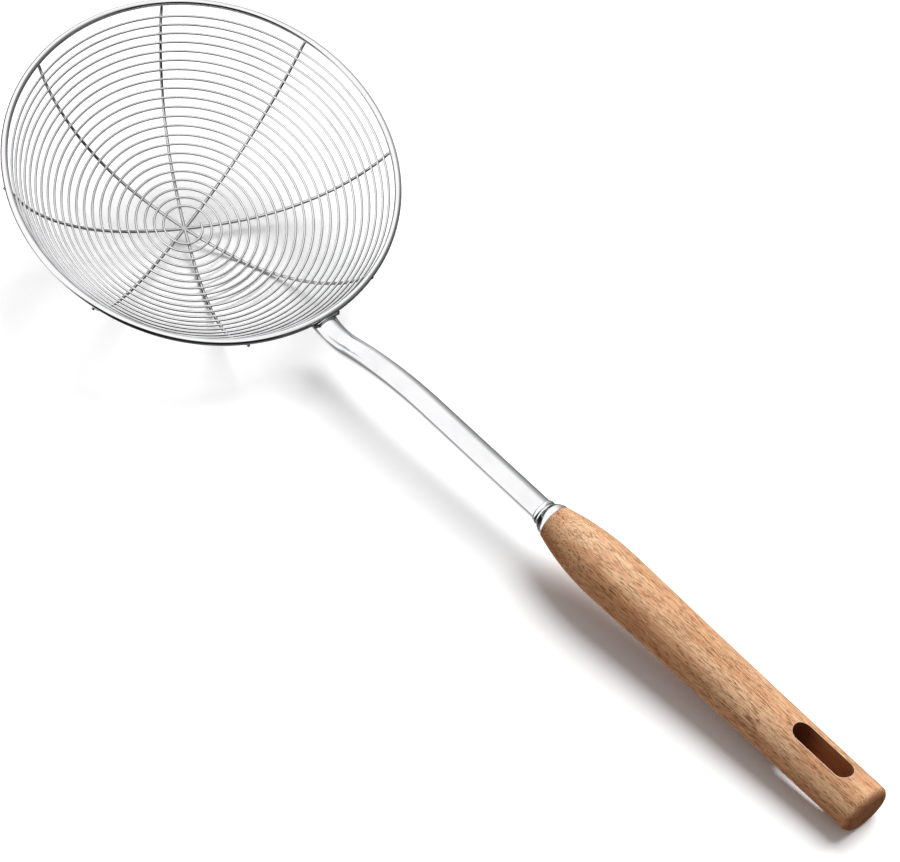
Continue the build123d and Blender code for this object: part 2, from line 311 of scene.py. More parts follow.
@dataclass(frozen=True)
class BeechWood(Finish):
    """Oiled beech: long soft growth bands, fine streaks, and short dark flecks along the grain.

    It lies on Object coordinates, turned to run along the grip. The butt is dark end grain. The attribute
    "cut" is 1 on the slot's walls and falls to 0 over its pale lip. The walls carry painted shade, darkest
    where the slot starts.

    Attributes:
        axis_angle: the grip's turn about Y from the X axis, in radians.
        butt: how far along the turned X axis the butt's face is, in metres.
        butt_round: the round of its edge, in metres.
        slot: how far along the same axis the slot starts and its middle is, in metres.
    """

    name: str = "beech_wood"
    axis_angle: float = 0.0
    butt: float = 0.0
    butt_round: float = 0.0
    slot: Range = (0.0, 1.0)
    pale: Colour = (0.87, 0.565, 0.345)
    warm: Stain = Stain((0.54, 0.26, 0.12))
    bands: Noise = Noise((9.0, 130.0, 130.0), (0.3, 0.7), detail=3.0)
    band_share: float = 0.75
    streaks: Noise = Noise((24.0, 1500.0, 1500.0), (0.35, 0.7), detail=3.0)
    streak_share: float = 0.3
    blush: Stain = Stain((0.6, 0.24, 0.115), 0.45)
    blushes: Noise = Noise((60.0, 230.0, 230.0), (0.45, 0.7))
    fleck: Stain = Stain((0.15, 0.05, 0.02), 0.75)
    dashes: Noise = Noise((260.0, 5200.0, 5200.0), detail=1.0)
    scatter: Noise = Noise((90.0, 420.0, 420.0), detail=1.0)
    scatter_share: float = 0.2
    fleck_rise: Range = (0.66, 0.72)
    end_grain: Stain = Stain((0.2, 0.085, 0.045), 0.75)
    end_edge: float = 0.15
    # The slot's walls: bare cut wood, darkened further by painted shade inside the slot
    cut: Stain = Stain((0.44, 0.19, 0.08))
    cut_and_shade_strength: float = 0.75
    cut_streak_share: float = 0.2
    # Painted shade on the slot's walls, darkest where the slot starts, towards the ferrule
    slot_end_shade: Stain = Stain((0.12, 0.02, 0.006), 0.85)
    lip: Stain = Stain((0.86, 0.62, 0.48), 0.8)
    lip_rise: Range = (0.05, 0.3)
    lip_fall: Range = (0.97, 0.75)
    specular: float = 0.12
    roughness: float = 0.42
    streak_roughness: float = 0.12
    fleck_roughness: float = 0.2
    cut_roughness: float = 0.2
    pore_depth: float = 0.00006
    pore_streak_share: float = 0.4

    def inputs(self, tree: Tree) -> dict:
        """The shader's inputs."""
        place = tree.node("ShaderNodeTexCoord").outputs["Object"]
        turned = {"Vector": place, "Rotation": (0, self.axis_angle, 0)}
        grain = tree.node("ShaderNodeMapping", {"vector_type": "TEXTURE"}, turned).outputs[0]
        streaks, dashes = self.streaks.over(tree, grain), self.dashes.over(tree, grain)
        tone = self.bands.mask(tree, grain) * self.band_share
        tone = tone + streaks.step(*self.streaks.rise) * self.streak_share
        flecks = (dashes + self.scatter.over(tree, grain) * self.scatter_share).step(*self.fleck_rise)
        along = Shade(tree, tree.node("ShaderNodeSeparateXYZ", None, {0: grain}).outputs["X"])
        end = along.step(self.butt - self.butt_round, self.butt - self.butt_round * self.end_edge)
        wall = Shade(tree, tree.node("ShaderNodeAttribute", {"attribute_name": "cut"}).outputs["Fac"])
        stains = [
            (tone.math("MINIMUM", 1.0), self.warm),
            (self.blushes.mask(tree, grain), self.blush),
            (flecks, self.fleck),
            (end, self.end_grain),
            # The slot's walls: bare cut wood darkened by painted shade
            (wall * (self.cut_and_shade_strength + streaks * self.cut_streak_share), self.cut),
            # Painted shade in the slot, darkest where it starts
            (wall * along.step(*self.slot, 1.0, 0.0), self.slot_end_shade),
            (wall.step(*self.lip_rise) * wall.step(*self.lip_fall), self.lip),
        ]
        wood = self.pale
        for mask, stain in stains:
            wood = tree.blend(mask * stain.share, wood, stain.colour)
        spots = streaks * self.streak_roughness + flecks * self.fleck_roughness
        return {
            "Base Color": wood,
            "Specular IOR Level": self.specular,
            "Roughness": self.roughness + spots + wall * self.cut_roughness,
            "Normal": tree.bump(streaks * self.pore_streak_share - flecks, self.pore_depth),
        }


# Surfaces


def grid_quads(rows: int, columns: int, close_rows: bool = False, close_columns: bool = True) -> Array:
    """The corners of a grid's faces, with its points numbered row by row.

    Args:
        rows: how many rows of points.
        columns: how many columns.
        close_rows: whether the last row joins the first.
        close_columns: whether the last column joins the first.

    Returns:
        Faces by 4.
    """
    spans = rows if close_rows else rows - 1, columns if close_columns else columns - 1
    i, j = (index.reshape(-1) for index in np.indices(spans))
    up, side = (i + 1) % rows * columns, (j + 1) % columns
    return np.stack([i * columns + j, i * columns + side, up + side, up + j], axis=-1)


def grid_object(name: str, points: Array, along: Array | None = None, closed_rows: bool = False) -> Object:
    """Makes one object of closed shapes, each a grid of points whose columns close on themselves.

    Args:
        name: the piece's name.
        points: shapes by rows by columns by 3.
        along: each row's distance, for a UV map of it and of the share round, or None for no map.
        closed_rows: whether the last row joins the first. Otherwise a face closes each end row. It is flat
            where there is a map.

    Returns:
        The object.
    """
    count, rows, columns, _ = points.shape
    quads = grid_quads(rows, columns, closed_rows)
    row = np.arange(columns)
    caps = [] if closed_rows else [row[::-1], (rows - 1) * columns + row]
    one = np.concatenate([quads.reshape(-1), *caps])
    loops = (one + np.arange(count)[:, None] * rows * columns).reshape(-1)
    totals = np.tile([4] * len(quads) + [columns] * len(caps), count)
    smooth = np.tile([True] * len(quads) + [along is None] * len(caps), count)
    uv = None
    if along is not None:
        i, j = np.divmod(np.arange(len(quads)), columns)
        step = np.append(along, along[-1] + along[1] - along[0])
        u = np.stack([step[i], step[i], step[i + 1], step[i + 1]], axis=-1)
        v = np.stack([j, j + 1, j + 1, j], axis=-1) / columns
        uv = np.concatenate([np.stack([u, v], axis=-1).reshape(-1, 2), np.zeros((len(caps) * columns, 2))])
    return mesh_object(name, points.reshape(-1, 3), loops, totals, smooth, uv)


def mesh_object(
    name: str, points: Array, loops: Array, totals: Array, smooth: Array, uv: Array | None = None
) -> Object:
    """Makes a mesh object from arrays.

    Args:
        name: the piece's name.
        points: vertices by 3.
        loops: the vertex of each corner, face after face.
        totals: how many corners each face has.
        smooth: whether each face is shaded smooth.
        uv: each corner's place on the UV map, or None for no map.

    Returns:
        The object, linked to the scene, with its faces pointing outwards.
    """
    starts = np.concatenate([[0], np.cumsum(totals)[:-1]])
    if enclosed_volume(points, loops, totals, starts) < 0:
        order = np.concatenate([np.arange(s, s + t)[::-1] for s, t in zip(starts, totals)])
        loops = loops[order]
        uv = uv if uv is None else uv[order]
    mesh = bpy.data.meshes.new(name)
    mesh.vertices.add(len(points))
    mesh.vertices.foreach_set("co", points.astype(np.float32).reshape(-1))
    mesh.loops.add(len(loops))
    mesh.loops.foreach_set("vertex_index", loops.astype(np.int32))
    mesh.polygons.add(len(totals))
    mesh.polygons.foreach_set("loop_start", starts.astype(np.int32))
    mesh.polygons.foreach_set("use_smooth", smooth)
    mesh.update(calc_edges=True)
    if uv is not None:
        mesh.uv_layers.new(name="UVMap").uv.foreach_set("vector", uv.astype(np.float32).reshape(-1))
    mesh.validate()
    mesh.set_sharp_from_angle(angle=SHARP_ANGLE)
    made = bpy.data.objects.new(name, mesh)
    bpy.context.scene.collection.objects.link(made)
    return made


def enclosed_volume(points: Array, loops: Array, totals: Array, starts: Array) -> float:
    """The volume inside a closed mesh, negative where its faces point inwards.

    Each face is a fan of triangles from its first corner. A triangle adds a sixth of a . (b x c).
    """
    face = np.repeat(np.arange(len(totals)), totals)
    corner = np.arange(len(loops)) - starts[face]
    here = np.nonzero((corner > 0) & (corner < totals[face] - 1))[0]
    a, b, c = points[loops[starts[face[here]]]], points[loops[here]], points[loops[here + 1]]
    return float(np.einsum("ij,ij->", a, np.cross(b, c))) / 6


def along_line(path: Array, closed: bool = False) -> tuple[Array, Array]:
    """The distance along a path and its unit direction at each point.

    Args:
        path: points by 3.
        closed: whether the last point joins the first.

    Returns:
        Distances and directions.
    """
    if closed:
        step = np.roll(path, -1, axis=0) - np.roll(path, 1, axis=0)
    else:
        step = np.gradient(path, axis=0)
    gaps = np.linalg.norm(np.diff(path, axis=0), axis=1)
    distance = np.concatenate([[0.0], np.cumsum(gaps)])
    return distance, step / np.linalg.norm(step, axis=1, keepdims=True)


def rod_surface(
    name: str,
    place: "Placement",
    path: Array,
    normal: Array,
    half_sizes: "Array | float | tuple[Array, Array]",
    sides: int,
    end_round: float | None = None,
) -> Object:
    """Carries an oval section along a path.

    A point is path + cos(angle) * first half size * n + sin(angle) * second half size * b. There n is the
    given normal made square to the path's direction t, and b is t x n.

    Args:
        name: the piece's name.
        place: where the drawing lies in the frame.
        path: points by 3, in the drawing.
        normal: the direction of the section's first axis at each point.
        half_sizes: the section's radius, or its half sizes along the normal and across it.
        sides: how many corners the section has.
        end_round: the round of both ends, or None where the rod closes on itself.

    Returns:
        The object.
    """
    pair = half_sizes if isinstance(half_sizes, tuple) else (half_sizes, half_sizes)
    sizes = [np.broadcast_to(size, len(path)) for size in pair]
    if end_round is not None:
        path, shrink = rounded_ends(path, end_round)
        normal = np.pad(normal, ((END_STEPS, END_STEPS), (0, 0)), mode="edge")
        sizes = [np.pad(size, END_STEPS, mode="edge") - shrink for size in sizes]
    distance, direction = along_line(path, end_round is None)
    normal = normal - direction * np.sum(normal * direction, axis=1, keepdims=True)
    normal = normal / np.linalg.norm(normal, axis=1, keepdims=True)
    side = np.cross(direction, normal)
    angle = (np.arange(sides) * math.tau / sides)[None, :, None]
    first, second = (size[:, None, None] for size in sizes)
    across = np.cos(angle) * first * normal[:, None, :]
    over = np.sin(angle) * second * side[:, None, :]
    points = place.put(path[:, None, :] + across + over)
    return grid_object(name, points[None], distance * MM, end_round is None)


def way_out(path: Array) -> tuple[Array, Array]:
    """The unit directions in which a path leaves its first and its last point."""
    head, tail = path[0] - path[1], path[-1] - path[-2]
    return head / np.linalg.norm(head), tail / np.linalg.norm(tail)


def rounded_ends(path: Array, radius: float) -> tuple[Array, Array]:
    """Adds points just past a path's ends, over which a rod's section shrinks by a quarter round.

    Args:
        path: points by 3.
        radius: how far the rounding reaches along and in.

    Returns:
        The longer path, and how much smaller the section is at each of its points.
    """
    turn = np.arange(1, END_STEPS + 1) / END_STEPS * QUARTER
    out, shrink = np.sin(turn)[:, None] * radius, (1 - np.cos(turn)) * radius
    head, tail = way_out(path)
    longer = np.concatenate([path[0] + out[::-1] * head, path, path[-1] + out * tail])
    return longer, np.concatenate([shrink[::-1], np.zeros(len(path)), shrink])


def heading(azimuth: Array | float, elevation: float = 0.0) -> Array:
    """The unit direction at this turn about Z and this climb above the level, both in radians."""
    flat = math.cos(elevation)
    x, y = flat * np.cos(azimuth), flat * np.sin(azimuth)
    return np.stack([x, y, 0 * x + math.sin(elevation)], axis=-1)


def arc_step(radius: float, start: float, end: Array | float) -> Array:
    """The step (r, z) along an arc whose climb goes from start to end, in radians, up or down."""
    side = np.where(np.asarray(end) >= start, radius, -radius)
    return np.stack([side * (np.sin(end) - math.sin(start)), side * (math.cos(start) - np.cos(end))], axis=-1)


# The drawing: millimetres, with the rim level and centred on the origin and the handle along +X


@dataclass(frozen=True)
class BasketShape:
    """The basket's sizes, and the bowl that its wires lie in."""

    rim_diameter: float = 160.0
    rod_diameter: float = 2.8
    rib_diameter: float = 1.3
    spiral_diameter: float = 1.0
    rib_count: int = 4
    rib_turn: float = -2.5
    floor_radius: float = 130.0
    floor_angle: float = math.radians(10.0)
    wall_angle: float = math.radians(65.0)
    bend_radius: float = 4.0
    exit_angle: float = math.radians(25.0)
    end_length: float = 0.2
    spiral_start: float = 7.0
    spiral_turns: float = 22.375
    spiral_top_gap: float = 0.1
    weld_gap: float = 0.03

    @property
    def rod_radius(self) -> float:
        """Half the rim rod's thickness."""
        return self.rod_diameter / 2

    @property
    def rim_radius(self) -> float:
        """The rim's radius to the middle of its rod."""
        return self.rim_diameter / 2 - self.rod_radius

    @property
    def spiral_offset(self) -> float:
        """How far the spiral's middle lies inside the ribs' middle."""
        return (self.rib_diameter + self.spiral_diameter) / 2 + self.weld_gap

    @property
    def exit_way(self) -> Array:
        """The direction (r, z) in which a rib passes under the rim rod."""
        return np.array([math.cos(self.exit_angle), math.sin(self.exit_angle)])

    @property
    def touch(self) -> Array:
        """Where (r, z) a rib's middle passes under the rim rod."""
        contact = (self.rod_diameter + self.rib_diameter) / 2 + self.weld_gap
        return np.array([self.rim_radius, 0.0]) + contact * self.exit_way[::-1] * [1.0, -1.0]

    @property
    def wall_top(self) -> Array:
        """Where (r, z) the wall ends and a rib's outward bend begins."""
        return self.touch - arc_step(self.bend_radius, self.wall_angle, self.exit_angle)

    @property
    def floor_step(self) -> Array:
        """The step (r, z) from the middle of the floor to its edge."""
        return arc_step(self.floor_radius, 0.0, self.floor_angle)

    @property
    def wall_radius(self) -> float:
        """The wall's radius, which carries it from the floor's edge to its top."""
        across = self.wall_top[0] - self.floor_step[0]
        return across / (math.sin(self.wall_angle) - math.sin(self.floor_angle))

    @property
    def floor_middle(self) -> Array:
        """Where (r, z) the middle of the floor is."""
        return self.wall_top - arc_step(self.wall_radius, self.floor_angle, self.wall_angle) - self.floor_step

    @property
    def floor_run(self) -> float:
        """How far along a rib the floor reaches from its middle."""
        return self.floor_radius * self.floor_angle

    @property
    def wall_run(self) -> float:
        """How far along a rib the wall's top lies from the middle of the floor."""
        return self.floor_run + self.wall_radius * (self.wall_angle - self.floor_angle)

    @property
    def rib_angles(self) -> Array:
        """The heading of each half rib, going round the basket."""
        spacing = math.pi / self.rib_count
        return spacing / 2 + math.radians(self.rib_turn) + np.arange(2 * self.rib_count) * spacing

    def profile(self, run: Array) -> tuple[Array, Array]:
        """The ribs' middle (r, z) and climb this far along from the middle of the floor."""
        floor = np.minimum(run, self.floor_run) / self.floor_radius
        wall = self.floor_angle + np.maximum(run - self.floor_run, 0.0) / self.wall_radius
        step = arc_step(self.floor_radius, 0.0, floor) + arc_step(self.wall_radius, self.floor_angle, wall)
        return self.floor_middle + step, np.where(run < self.floor_run, floor, wall)

    def spiral_places(self, turn: Array) -> tuple[Array, Array]:
        """The spiral's middle, and the bowl's inward normal there, after this many turns clockwise."""
        pitch = (self.wall_run - self.spiral_top_gap - self.spiral_start) / self.spiral_turns
        place, climb = self.profile(self.spiral_start + pitch * turn)
        out = heading(self.rib_angles[1] - math.tau * turn)
        normal = np.cos(climb)[:, None] * UP - np.sin(climb)[:, None] * out
        return place[:, :1] * out + place[:, 1:] * UP + self.spiral_offset * normal, normal


@dataclass(frozen=True)
class HandleShape:
    """The tube's bends, from its flattened end under the rim to the grip."""

    basket: BasketShape
    diameter: float = 9.4
    end_width: float = 11.3
    end_height: float = 7.8
    end_lap: float = 1.0
    end_angle: float = math.radians(-8.0)
    flare_length: float = 11.0
    neck_radius: float = 26.0
    neck_angle: float = math.radians(33.0)
    bow_radius: float = 147.0
    shaft_angle: float = math.radians(14.5)
    shaft_length: float = 67.9
    seat_depth: float = 12.0
    neck_steps: int = 57
    bow_steps: int = 41
    shaft_steps: int = 41

    @property
    def start(self) -> Array:
        """The middle (x, z) of the tube's flattened end."""
        drop = self.basket.rod_radius + self.basket.weld_gap + self.end_height / 2
        return np.array([self.basket.rim_radius - self.end_lap, -drop])

    @property
    def neck_end(self) -> Array:
        """Where (x, z) the neck goes over into the bow."""
        return self.start + arc_step(self.neck_radius, self.end_angle, self.neck_angle)

    @property
    def bow_end(self) -> Array:
        """Where (x, z) the bow goes over into the straight shaft."""
        return self.neck_end + arc_step(self.bow_radius, self.neck_angle, self.shaft_angle)

    @property
    def axis(self) -> Array:
        """The shaft's direction (x, z)."""
        return np.array([math.cos(self.shaft_angle), math.sin(self.shaft_angle)])

    @property
    def grip_start(self) -> Array:
        """Where (x, z) the wood begins."""
        return self.bow_end + self.shaft_length * self.axis

    def path(self) -> tuple[Array, Array]:
        """The tube's middle (x, z) and climb along the neck, the bow and the shaft."""
        neck = np.linspace(self.end_angle, self.neck_angle, self.neck_steps)
        bow = np.linspace(self.neck_angle, self.shaft_angle, self.bow_steps)[1:]
        run = np.linspace(0.0, self.shaft_length + self.seat_depth, self.shaft_steps)[1:]
        places = [
            self.start + arc_step(self.neck_radius, self.end_angle, neck),
            self.neck_end + arc_step(self.bow_radius, self.neck_angle, bow),
            self.bow_end + run[:, None] * self.axis,
        ]
        return np.concatenate(places), np.concatenate([neck, bow, np.full(len(run), self.shaft_angle)])

    def on_grip(self, along: Array, side: Array, up: Array) -> Array:
        """Points in the drawing from places along, beside and above the grip's axis."""
        x = self.grip_start[0] + along * self.axis[0] - up * self.axis[1]
        z = self.grip_start[1] + along * self.axis[1] + up * self.axis[0]
        return np.stack(np.broadcast_arrays(x, side, z), axis=-1)


@dataclass(frozen=True)
class GripShape:
    """The wooden grip's sizes and outline."""

    length: float = 159.3
    neck_diameter: float = 14.5
    width: float = 24.0
    height: float = 20.3
    turn: float = math.radians(9.0)
    butt_width: float = 21.4
    butt_height: float = 17.9
    butt_round: float = 2.8
    swell_length: float = 32.0
    swell_power: float = 2.25
    slot_length: float = 26.9
    slot_width: float = 8.2
    slot_butt_distance: float = 11.55
    lip_round: float = 0.4

    @property
    def slot_centre(self) -> float:
        """How far along the grip the slot's middle is."""
        return self.length - self.slot_butt_distance - self.slot_length / 2

    def half_sizes(self, along: Array) -> tuple[Array, Array]:
        """Half the width and half the height this far along the grip.

        The swell rises to the full size as 1 - (1 - share) ** power, and the taper falls from it as a sine.
        The quarter round at the butt takes its drop off both.
        """
        swell = 1 - np.clip(1 - along / self.swell_length, 0.0, 1.0) ** self.swell_power
        body_end = self.length - self.butt_round
        share = np.clip((along - self.swell_length) / (body_end - self.swell_length), 0.0, 1.0)
        taper = np.sin(share * QUARTER)
        past = np.clip(along - body_end, 0.0, self.butt_round)
        drop = self.butt_round - np.sqrt(np.maximum(self.butt_round**2 - past**2, 0.0))
        neck = self.neck_diameter
        width = neck + swell * (self.width - neck) - taper * (self.width - self.butt_width)
        height = neck + swell * (self.height - neck) - taper * (self.height - self.butt_height)
        return width / 2 - drop, height / 2 - drop

    def turned(self, side: Array, up: Array) -> tuple[Array, Array]:
        """Places beside and above the axis, once the grip is turned about it with its top towards +Y."""
        c, s = math.cos(self.turn), math.sin(self.turn)
        return side * c + up * s, up * c - side * s

    @property
    def slot_straight(self) -> float:
        """Half the length of the slot's straight sides, between its round ends."""
        return (self.slot_length - self.slot_width) / 2

    def past_straight(self, along: Array) -> Array:
        """How far past the slot's straight sides a place along the grip is, or 0 beside them."""
        return np.maximum(np.abs(along - self.slot_centre) - self.slot_straight, 0.0)

    def slot_distance(self, along: Array, side: Array) -> Array:
        """How far a place seen from above lies outside the slot's outline."""
        return np.hypot(self.past_straight(along), side) - self.slot_width / 2

    def slot_half_width(self, along: Array) -> Array:
        """Half the slot's width this far along the grip, or 0 beyond its ends."""
        return np.sqrt(np.maximum((self.slot_width / 2) ** 2 - self.past_straight(along) ** 2, 0.0))


@dataclass(frozen=True)
class Placement:
    """Where the drawing, in millimetres, lies in the frame, in metres."""

    tilt: float
    centre: Array

    @classmethod
    def from_frame(cls, shape: BasketShape) -> "Placement":
        """Reads the tilt and the place from the rim's box in the frame."""
        low, high = (np.array(corner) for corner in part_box("rim_ring"))
        rise = (high[2] - low[2]) / 2 / MM - shape.rod_radius
        return cls(math.asin(rise / shape.rim_radius), (low + high) / 2)

    @property
    def rotation(self) -> Array:
        """The turn about Y that tips the basket."""
        c, s = math.cos(self.tilt), math.sin(self.tilt)
        return np.array([[c, 0.0, s], [0.0, 1.0, 0.0], [-s, 0.0, c]])

    def put(self, points: Array) -> Array:
        """Points of the drawing in the frame."""
        return points @ self.rotation.T * MM + self.centre


def sphere_grid(rows: int, columns: int) -> Array:
    """A unit ball's points, in rows that stop just short of both poles."""
    polar = np.linspace(POLE_GAP, math.pi - POLE_GAP, rows)[:, None, None]
    out = heading(np.arange(columns) * math.tau / columns)
    return np.sin(polar) * out + np.cos(polar) * UP


# Pieces


@dataclass
class Piece:
    """A sub-assembly: builds its objects, gives each its material and body, and hides their CAD nodes."""

    place: Placement

    def add(self, made: Object, material: Material, slot: Slot, *nodes: str) -> None:
        """Finishes one object.

        Args:
            made: the object, already in the frame.
            material: its finish.
            slot: the record's slot for that finish. It is not used.
            nodes: the CAD nodes that it stands for.
        """
        made.data.materials.append(material)
        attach(made, BODY)
        if nodes:
            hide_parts(*nodes)
        LOG.info("%s: %d faces", made.name, len(made.data.polygons))


@dataclass
class Basket(Piece):
    """The rim, the ribs, the spiral and the spot welds between them."""

    shape: BasketShape
    rod: PolishedSteel = PolishedSteel()
    wire: PatchyMetal = DRAWN_WIRE
    # The ribs' wire is greyer as painted shade under the spiral
    rib_wire: PatchyMetal = SHADED_RIB_WIRE
    rim_steps: int = 512
    rim_sides: int = 32
    rib_steps: int = 70
    bend_steps: int = 9
    rib_sides: int = 16
    rib_end_round: float = 0.3
    turn_steps: int = 128
    spiral_sides: int = 12
    spiral_end_round: float = 0.25
    nugget_grid: tuple[int, int] = (6, 10)
    nugget_half_sizes: Triple = (0.62, 0.58, 0.62)
    rim_nugget_half_sizes: Triple = (0.5, 0.5, 0.4)

    def build(self) -> None:
        """Makes the basket's objects."""
        rod, wire, rib_wire = self.rod.material(), self.wire.material(), self.rib_wire.material()
        self.add(self.rim(), rod, Slot.POLISHED, "rim_ring")
        for number in range(self.shape.rib_count):
            self.add(self.rib(number), rib_wire, Slot.WIRE, f"rib_wire_{number + 1}")
        self.add(self.spiral(), wire, Slot.WIRE, "spiral_wire")
        self.add(self.nuggets(), wire, Slot.WIRE)

    def rim(self) -> Object:
        """The rim: a circle carried round as a ring."""
        out = heading(np.arange(self.rim_steps) * math.tau / self.rim_steps)
        path, radius = self.shape.rim_radius * out, self.shape.rod_radius
        return rod_surface("rim", self.place, path, out, radius, self.rim_sides)

    def rib(self, number: int) -> Object:
        """One rib from rim to rim: floor, wall, outward bend and free end, and the same on the other side."""
        shape = self.shape
        bend = np.linspace(shape.wall_angle, shape.exit_angle, self.bend_steps)[1:]
        half = np.concatenate([
            shape.profile(np.linspace(0.0, shape.wall_run, self.rib_steps))[0],
            shape.wall_top + arc_step(shape.bend_radius, shape.wall_angle, bend),
            shape.touch + shape.end_length * np.array([[0.5], [1.0]]) * shape.exit_way,
        ])
        both = np.concatenate([half[:0:-1] * [-1.0, 1.0], half])
        out = heading(shape.rib_angles[number])
        path = both[:, :1] * out + both[:, 1:] * UP
        side = np.broadcast_to(np.cross(UP, out), path.shape)
        name, radius = f"rib_{number + 1}", shape.rib_diameter / 2
        return rod_surface(name, self.place, path, side, radius, self.rib_sides, self.rib_end_round)

    def spiral(self) -> Object:
        """The spiral wire, whose ends run on straight by the wire's width."""
        shape = self.shape
        turn = np.linspace(0.0, shape.spiral_turns, round(shape.spiral_turns * self.turn_steps) + 1)
        middle, normal = shape.spiral_places(turn)
        head, tail = (way * shape.spiral_diameter for way in way_out(middle))
        path = np.concatenate([[middle[0] + head], middle, [middle[-1] + tail]])
        normal = np.pad(normal, ((1, 1), (0, 0)), mode="edge")
        sides, radius = self.spiral_sides, shape.spiral_diameter / 2
        return rod_surface("spiral", self.place, path, normal, radius, sides, self.spiral_end_round)

    def nuggets(self) -> Object:
        """The spot welds: a flattened ball where the spiral crosses a rib, and where a rib meets the rim.

        A ball's axes lie outwards along the bowl, across that, and along the bowl's normal.
        """
        shape = self.shape
        turn = np.arange(0.0, shape.spiral_turns + TINY, 1 / (2 * shape.rib_count))
        middle, normal = shape.spiral_places(turn)
        middle = middle - normal * shape.spiral_offset / 2
        out = heading(shape.rib_angles)
        up = UP * math.cos(shape.exit_angle) - out * math.sin(shape.exit_angle)
        rim_middle = out * shape.touch[0] + UP * shape.touch[1] + up * shape.rib_diameter / 2
        middle, normal = np.concatenate([middle, rim_middle]), np.concatenate([normal, up])
        sizes = np.array([self.nugget_half_sizes] * len(turn) + [self.rim_nugget_half_sizes] * len(out))
        radial = middle * [1.0, 1.0, 0.0]
        along = radial - normal * np.sum(radial * normal, axis=1, keepdims=True)
        along /= np.linalg.norm(along, axis=1, keepdims=True)
        axes = np.stack([along, np.cross(normal, along), normal], axis=1) * sizes[:, :, None]
        points = sphere_grid(*self.nugget_grid) @ axes[:, None] + middle[:, None, None, :]
        return grid_object("spot_welds", self.place.put(points))


